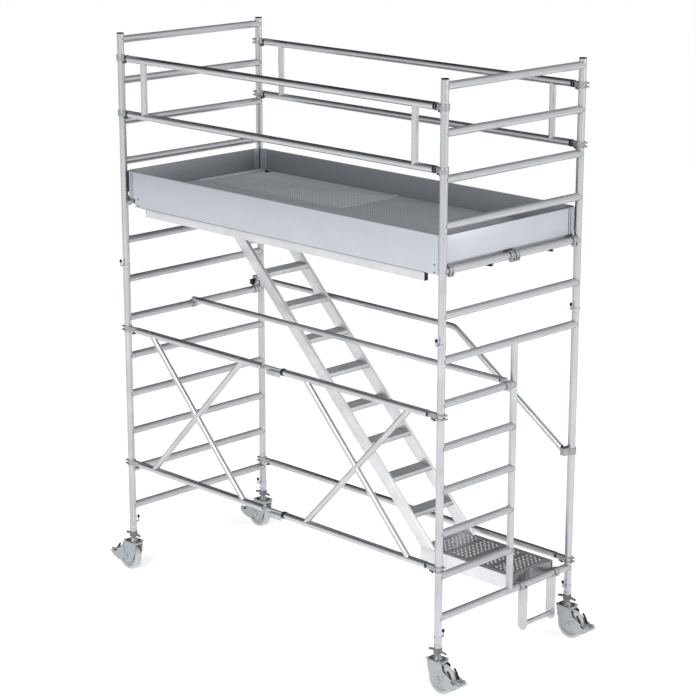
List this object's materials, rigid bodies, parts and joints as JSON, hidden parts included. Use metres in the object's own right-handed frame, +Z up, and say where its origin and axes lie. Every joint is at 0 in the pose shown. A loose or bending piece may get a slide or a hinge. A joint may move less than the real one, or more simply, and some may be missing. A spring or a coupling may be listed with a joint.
{
  "type": "mobile access tower with stairway",
  "caption": "Mobile aluminium access tower: two rung frames, inside stair, hatch platform, guardrails, toe boards and four braked adjustable castors.",
  "frame": {"origin": "on the floor, midway between the four posts", "axes": "+X along the bay towards the doorway end, +Y from the braced front to the back, +Z up"},
  "size_m": [3.432, 1.386, 3.901],
  "materials": {
    "frame_tube": "brushed extruded tube",
    "spigot_tube": "drawn tube",
    "rail_tube": "brushed extruded tube",
    "brace_tube": "brushed extruded tube",
    "cast_claw": "sand cast",
    "link_steel": "zinc plated",
    "black_moulding": "moulded",
    "deck_beam": "mill finish",
    "deck_board": "phenolic faced, studded",
    "toe_board_outer": "anodised",
    "corner_sheet": "folded sheet",
    "stringer": "mill finish",
    "tread": "serrated",
    "plank": "perforated sheet",
    "spindle_zinc": "zinc plated",
    "nut_iron": "galvanised",
    "fork_steel": "grey paint",
    "pedal_steel": "grey paint",
    "wheel_tyre": "cast nylon"
  },
  "bodies": {
    "tower": {"lower_left_frame": "frame_tube", "lower_right_frame": "frame_tube", "upper_left_frame": "frame_tube", "upper_right_frame": "frame_tube", "joint_spigots": "spigot_tube", "front_guardrail": "rail_tube", "back_guardrail": "rail_tube", "back_rail": "rail_tube", "mid_handrail": "rail_tube", "bent_handrail": "rail_tube", "brace_left_half": "brace_tube", "brace_right_half": "brace_tube", "guardrail_claws": "cast_claw", "rail_claws": "cast_claw", "platform_claws": "cast_claw", "handrail_couplers": "cast_claw", "fold_links": "link_steel", "hatch_hinges": "link_steel", "clip_rings": "link_steel", "post_caps": "black_moulding", "clip_knobs": "black_moulding", "deck_beam_caps": "black_moulding", "front_deck_frame": "deck_beam", "back_deck_frame": "deck_beam", "front_deck_panel": "deck_board", "back_deck_panel": "deck_board", "toe_board_front": "toe_board_outer", "toe_board_back": "toe_board_outer", "toe_boards_end": "toe_board_outer", "toe_board_corners": "corner_sheet", "stair_stringers": "stringer", "landing_frame": "stringer", "stair_treads": "tread", "landing_planks": "plank"},
    "deck_latch_back_left": {"deck_latch_back_left": "black_moulding"},
    "deck_latch_back_right": {"deck_latch_back_right": "black_moulding"},
    "deck_latch_front_left": {"deck_latch_front_left": "black_moulding"},
    "deck_latch_front_right": {"deck_latch_front_right": "black_moulding"},
    "fork_back_left": {"fork_back_left": "fork_steel"},
    "fork_back_right": {"fork_back_right": "fork_steel"},
    "fork_front_left": {"fork_front_left": "fork_steel"},
    "fork_front_right": {"fork_front_right": "fork_steel"},
    "hatch_lid": {"hatch_lid": "deck_board"},
    "pedal_back_left": {"pedal_back_left": "pedal_steel"},
    "pedal_back_right": {"pedal_back_right": "pedal_steel"},
    "pedal_front_left": {"pedal_front_left": "pedal_steel"},
    "pedal_front_right": {"pedal_front_right": "pedal_steel"},
    "spindle_back_left": {"spindle_back_left": "spindle_zinc"},
    "spindle_back_right": {"spindle_back_right": "spindle_zinc"},
    "spindle_front_left": {"spindle_front_left": "spindle_zinc"},
    "spindle_front_right": {"spindle_front_right": "spindle_zinc"},
    "star_knob": {"star_knob": "black_moulding"},
    "wheel_back_left": {"wheel_back_left": "wheel_tyre"},
    "wheel_back_right": {"wheel_back_right": "wheel_tyre"},
    "wheel_front_left": {"wheel_front_left": "wheel_tyre"},
    "wheel_front_right": {"wheel_front_right": "wheel_tyre"},
    "wing_nut_back_left": {"wing_nut_back_left": "nut_iron"},
    "wing_nut_back_right": {"wing_nut_back_right": "nut_iron"},
    "wing_nut_front_left": {"wing_nut_front_left": "nut_iron"},
    "wing_nut_front_right": {"wing_nut_front_right": "nut_iron"}
  },
  "joints": [
    {"name": "hatch_hinge", "type": "hinge", "parent": "tower", "child": "hatch_lid", "pos_m": [-0.715, 0.6, 2.8045], "axis": [-1, 0, 0], "range_deg": [0, 80]},
    {"name": "latch_front_left_hinge", "type": "hinge", "parent": "tower", "child": "deck_latch_front_left", "pos_m": [-1.408, -0.21, 2.704], "axis": [0, -1, 0], "range_deg": [0, 75]},
    {"name": "latch_front_right_hinge", "type": "hinge", "parent": "tower", "child": "deck_latch_front_right", "pos_m": [1.408, -0.21, 2.704], "axis": [0, 1, 0], "range_deg": [0, 75]},
    {"name": "latch_back_left_hinge", "type": "hinge", "parent": "tower", "child": "deck_latch_back_left", "pos_m": [-1.408, 0.372, 2.704], "axis": [0, -1, 0], "range_deg": [0, 75]},
    {"name": "latch_back_right_hinge", "type": "hinge", "parent": "tower", "child": "deck_latch_back_right", "pos_m": [1.408, 0.372, 2.704], "axis": [0, 1, 0], "range_deg": [0, 75]},
    {"name": "star_knob_turn", "type": "hinge", "parent": "tower", "child": "star_knob", "pos_m": [-1.5, 0.5667, 1.953], "axis": [0, 1, 0], "continuous": true},
    {"name": "height_front_left", "type": "slide", "parent": "tower", "child": "spindle_front_left", "axis": [0, 0, -1], "range_m": [0, 0.16]},
    {"name": "wing_nut_turn_front_left", "type": "hinge", "parent": "tower", "child": "wing_nut_front_left", "pos_m": [-1.5, -0.64, 0.28], "axis": [0, 0, 1], "continuous": true},
    {"name": "swivel_front_left", "type": "hinge", "parent": "spindle_front_left", "child": "fork_front_left", "pos_m": [-1.5, -0.64, 0.21], "axis": [0, 0, 1], "continuous": true},
    {"name": "wheel_spin_front_left", "type": "hinge", "parent": "fork_front_left", "child": "wheel_front_left", "pos_m": [-1.542, -0.64, 0.1], "axis": [0, 1, 0], "continuous": true},
    {"name": "brake_pedal_front_left", "type": "hinge", "parent": "fork_front_left", "child": "pedal_front_left", "pos_m": [-1.578, -0.64, 0.135], "axis": [0, 1, 0], "range_deg": [0, 12]},
    {"name": "height_back_left", "type": "slide", "parent": "tower", "child": "spindle_back_left", "axis": [0, 0, -1], "range_m": [0, 0.16]},
    {"name": "wing_nut_turn_back_left", "type": "hinge", "parent": "tower", "child": "wing_nut_back_left", "pos_m": [-1.5, 0.64, 0.28], "axis": [0, 0, 1], "continuous": true},
    {"name": "swivel_back_left", "type": "hinge", "parent": "spindle_back_left", "child": "fork_back_left", "pos_m": [-1.5, 0.64, 0.21], "axis": [0, 0, 1], "continuous": true},
    {"name": "wheel_spin_back_left", "type": "hinge", "parent": "fork_back_left", "child": "wheel_back_left", "pos_m": [-1.542, 0.64, 0.1], "axis": [0, 1, 0], "continuous": true},
    {"name": "brake_pedal_back_left", "type": "hinge", "parent": "fork_back_left", "child": "pedal_back_left", "pos_m": [-1.578, 0.64, 0.135], "axis": [0, 1, 0], "range_deg": [0, 12]},
    {"name": "height_front_right", "type": "slide", "parent": "tower", "child": "spindle_front_right", "axis": [0, 0, -1], "range_m": [0, 0.16]},
    {"name": "wing_nut_turn_front_right", "type": "hinge", "parent": "tower", "child": "wing_nut_front_right", "pos_m": [1.5, -0.64, 0.28], "axis": [0, 0, 1], "continuous": true},
    {"name": "swivel_front_right", "type": "hinge", "parent": "spindle_front_right", "child": "fork_front_right", "pos_m": [1.5, -0.64, 0.21], "axis": [0, 0, 1], "continuous": true},
    {"name": "wheel_spin_front_right", "type": "hinge", "parent": "fork_front_right", "child": "wheel_front_right", "pos_m": [1.542, -0.64, 0.1], "axis": [0, 1, 0], "continuous": true},
    {"name": "brake_pedal_front_right", "type": "hinge", "parent": "fork_front_right", "child": "pedal_front_right", "pos_m": [1.578, -0.64, 0.135], "axis": [0, -1, 0], "range_deg": [0, 12]},
    {"name": "height_back_right", "type": "slide", "parent": "tower", "child": "spindle_back_right", "axis": [0, 0, -1], "range_m": [0, 0.16]},
    {"name": "wing_nut_turn_back_right", "type": "hinge", "parent": "tower", "child": "wing_nut_back_right", "pos_m": [1.5, 0.64, 0.28], "axis": [0, 0, 1], "continuous": true},
    {"name": "swivel_back_right", "type": "hinge", "parent": "spindle_back_right", "child": "fork_back_right", "pos_m": [1.5, 0.64, 0.21], "axis": [0, 0, 1], "continuous": true},
    {"name": "wheel_spin_back_right", "type": "hinge", "parent": "fork_back_right", "child": "wheel_back_right", "pos_m": [1.542, 0.64, 0.1], "axis": [0, 1, 0], "continuous": true},
    {"name": "brake_pedal_back_right", "type": "hinge", "parent": "fork_back_right", "child": "pedal_back_right", "pos_m": [1.578, 0.64, 0.135], "axis": [0, -1, 0], "range_deg": [0, 12]}
  ],
  "couplings": [
    {"joint": "wing_nut_turn_front_left", "follows": "height_front_left", "rad_per_m": 785.4},
    {"joint": "wing_nut_turn_back_left", "follows": "height_back_left", "rad_per_m": 785.4},
    {"joint": "wing_nut_turn_front_right", "follows": "height_front_right", "rad_per_m": 785.4},
    {"joint": "wing_nut_turn_back_right", "follows": "height_back_right", "rad_per_m": 785.4}
  ]
}
